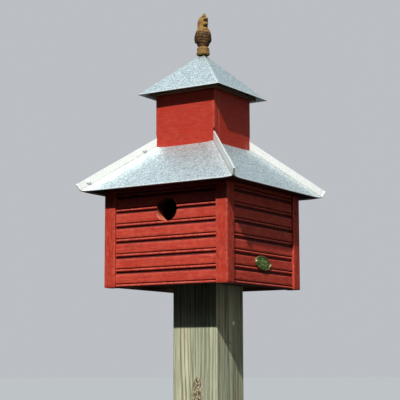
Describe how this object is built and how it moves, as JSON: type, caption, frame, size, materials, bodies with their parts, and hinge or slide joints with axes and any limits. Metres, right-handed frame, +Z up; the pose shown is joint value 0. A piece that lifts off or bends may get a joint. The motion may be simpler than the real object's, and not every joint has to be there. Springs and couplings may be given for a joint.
{
  "type": "birdhouse",
  "caption": "Post-mounted birdhouse: square beaded-board nest box with round entry hole and clean-out door, hipped metal roof with standing seams, cupola and cast bird finial.",
  "frame": {"origin": "middle of the assembly's bounding box at the post's foot face, straight under the box's vertical axis", "axes": "+Z up the post, -Y the way the entry hole faces, +X the wall with the plaque"},
  "size_m": [0.3214, 0.3214, 0.7984],
  "materials": {
    "barn_red_paint": "satin exterior paint on wood, slightly worn at the edges",
    "galvanized_sheet": "hot-dip galvanized sheet with a fine spangle, weathered",
    "rusty_iron": "cast iron under an even orange-brown rust",
    "treated_pine": "sawn pressure-treated pine, weathered to grey green",
    "bare_wood": "unpainted planed board",
    "zinc_fastener": "zinc plated",
    "brass": "dulled brass",
    "green_enamel": "semi-gloss green enamel"
  },
  "bodies": {
    "house": {"corner_post_front_left": "barn_red_paint", "corner_post_front_right": "barn_red_paint", "corner_post_rear_left": "barn_red_paint", "corner_post_rear_right": "barn_red_paint", "cupola_front": "barn_red_paint", "cupola_left": "barn_red_paint", "cupola_rear": "barn_red_paint", "cupola_right": "barn_red_paint", "cupola_roof": "galvanized_sheet", "cupola_top_plate": "bare_wood", "door_pivot_screw_left": "zinc_fastener", "door_pivot_screw_right": "zinc_fastener", "finial": "rusty_iron", "finial_block": "bare_wood", "finial_hanger_bolt": "zinc_fastener", "floor_board": "bare_wood", "floor_lag_screw_left": "zinc_fastener", "floor_lag_screw_right": "zinc_fastener", "front_wall": "barn_red_paint", "left_wall": "barn_red_paint", "plaque": "brass", "plaque_brad_front": "brass", "plaque_brad_rear": "brass", "plaque_field": "green_enamel", "post": "treated_pine", "post_face_screw": "zinc_fastener", "right_wall": "barn_red_paint", "roof_base_board": "bare_wood", "roof_base_screw_front_left": "zinc_fastener", "roof_base_screw_front_right": "zinc_fastener", "roof_base_screw_rear_left": "zinc_fastener", "roof_base_screw_rear_right": "zinc_fastener", "roof_panel_front": "galvanized_sheet", "roof_panel_left": "galvanized_sheet", "roof_panel_rear": "galvanized_sheet", "roof_panel_right": "galvanized_sheet", "seam_rivet_front_left_lower": "zinc_fastener", "seam_rivet_front_left_upper": "zinc_fastener", "seam_rivet_front_right_lower": "zinc_fastener", "seam_rivet_front_right_upper": "zinc_fastener", "seam_rivet_rear_left_lower": "zinc_fastener", "seam_rivet_rear_left_upper": "zinc_fastener", "seam_rivet_rear_right_lower": "zinc_fastener", "seam_rivet_rear_right_upper": "zinc_fastener", "turn_button_screw": "zinc_fastener"},
    "door": {"cleanout_door": "barn_red_paint"},
    "button": {"turn_button": "barn_red_paint"}
  },
  "joints": [
    {"name": "door_swing", "type": "hinge", "parent": "house", "child": "door", "pos_m": [0, 0.1116, 0.438], "axis": [1, 0, 0], "range_deg": [0, 85]},
    {"name": "button_turn", "type": "hinge", "parent": "house", "child": "button", "pos_m": [0.1132, 0.128, 0.344], "axis": [0, 1, 0], "range_deg": [0, 90]}
  ]
}
